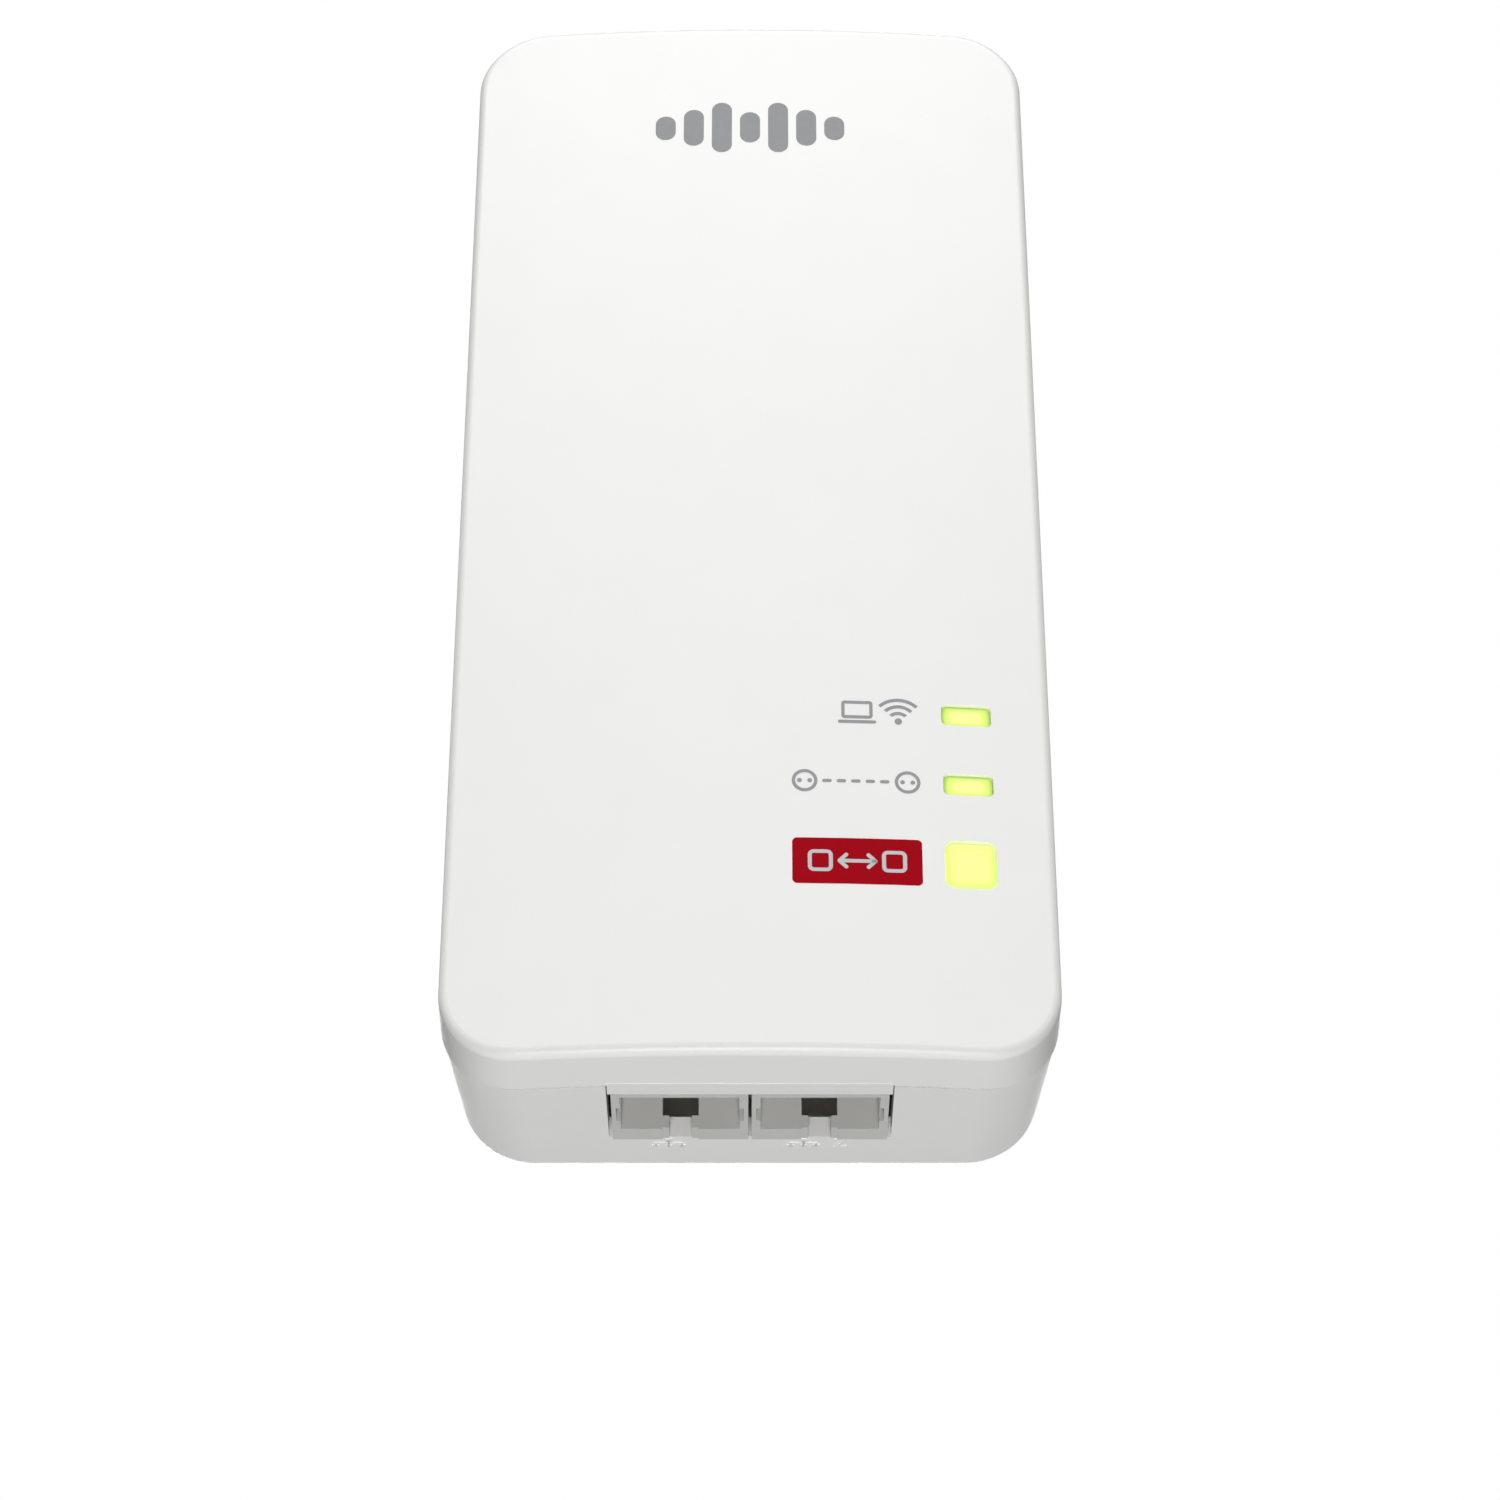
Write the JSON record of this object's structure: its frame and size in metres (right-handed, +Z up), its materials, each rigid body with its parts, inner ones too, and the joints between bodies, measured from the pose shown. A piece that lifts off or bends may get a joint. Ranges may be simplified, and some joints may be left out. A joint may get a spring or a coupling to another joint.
{
  "type": "powerline adapter",
  "caption": "Slab-shaped plug-in powerline network adapter with a crowned white front, status windows, a lit push button and LAN sockets at its lower end.",
  "frame": {"origin": "midway between the two mains pins, on the face of the plug", "axes": "+Z up along the case's length as it hangs in a wall socket, +Y along the pins into the wall, the front towards -Y"},
  "size_m": [0.0616, 0.0625, 0.132],
  "materials": {
    "white_shell": "fine moulded satin",
    "white_plug": "moulded satin",
    "label_film": "printed film, blank",
    "nickel_pin": "nickel plated, turned",
    "spring_brass": "stamped",
    "insulation_paper": "pressed board",
    "socket_grey": "moulded, fine grain",
    "gold_contact": "gold flash",
    "clear_guide": "translucent, lit yellow-green",
    "black_plastic": "moulded",
    "led_package": "moulded lens",
    "green_board": "solder mask over glass laminate",
    "chip_black": "moulded epoxy",
    "thermal_grey": "soft silicone",
    "sink_aluminium": "extruded, anodised",
    "can_metal": "tinned",
    "ferrite": "sintered",
    "fuse_brown": "moulded",
    "varistor_blue": "dipped epoxy",
    "film_yellow": "moulded box",
    "copper_wire": "enamelled copper",
    "tape_yellow": "polyester tape",
    "sleeve_black": "shrink sleeve",
    "screw_steel": "zinc plated"
  },
  "bodies": {
    "adapter": {"antenna_left": "can_metal", "antenna_right": "can_metal", "board_header": "black_plastic", "board_inductors": "ferrite", "board_pins": "gold_contact", "bridge_rectifier": "chip_black", "bulk_capacitors": "sleeve_black", "case_screws": "screw_steel", "ceramic_capacitor": "varistor_blue", "choke_core": "ferrite", "choke_windings": "copper_wire", "coupling_transformer": "chip_black", "crystal": "can_metal", "earth_bridge": "spring_brass", "earth_contact_bottom": "spring_brass", "earth_contact_top": "spring_brass", "film_capacitor": "film_yellow", "front_cover": "white_shell", "fuse": "fuse_brown", "heat_sink": "sink_aluminium", "insulation_sheet": "insulation_paper", "jack_left_contacts": "gold_contact", "jack_left_housing": "socket_grey", "jack_right_contacts": "gold_contact", "jack_right_housing": "socket_grey", "lan_magnetics": "chip_black", "light_baffle": "black_plastic", "light_guide_lower": "clear_guide", "light_guide_upper": "clear_guide", "main_board": "green_board", "main_board_screws": "screw_steel", "memory_chips": "chip_black", "opto_coupler": "white_plug", "output_capacitors": "sleeve_black", "pin_left": "nickel_pin", "pin_right": "nickel_pin", "plug_body": "white_plug", "plug_screws": "screw_steel", "power_board": "green_board", "power_board_screws": "screw_steel", "powerline_chip": "chip_black", "rating_label": "label_film", "rear_shell": "white_shell", "status_leds": "led_package", "supply_controller": "chip_black", "switch_body": "black_plastic", "thermal_pad": "thermal_grey", "transformer_core": "ferrite", "transformer_winding": "tape_yellow", "varistor": "varistor_blue", "wifi_shield": "can_metal"},
    "button": {"connect_button": "clear_guide"},
    "plunger": {"switch_plunger": "black_plastic"}
  },
  "joints": [
    {"name": "button_press", "type": "slide", "parent": "adapter", "child": "button", "axis": [0, 1, 0], "range_m": [0, 0.0003], "stiffness_N_per_m": 400},
    {"name": "plunger_press", "type": "slide", "parent": "adapter", "child": "plunger", "axis": [0, 1, 0], "range_m": [0, 0.0003]}
  ],
  "couplings": [
    {"joint": "plunger_press", "follows": "button_press", "ratio": 1}
  ]
}
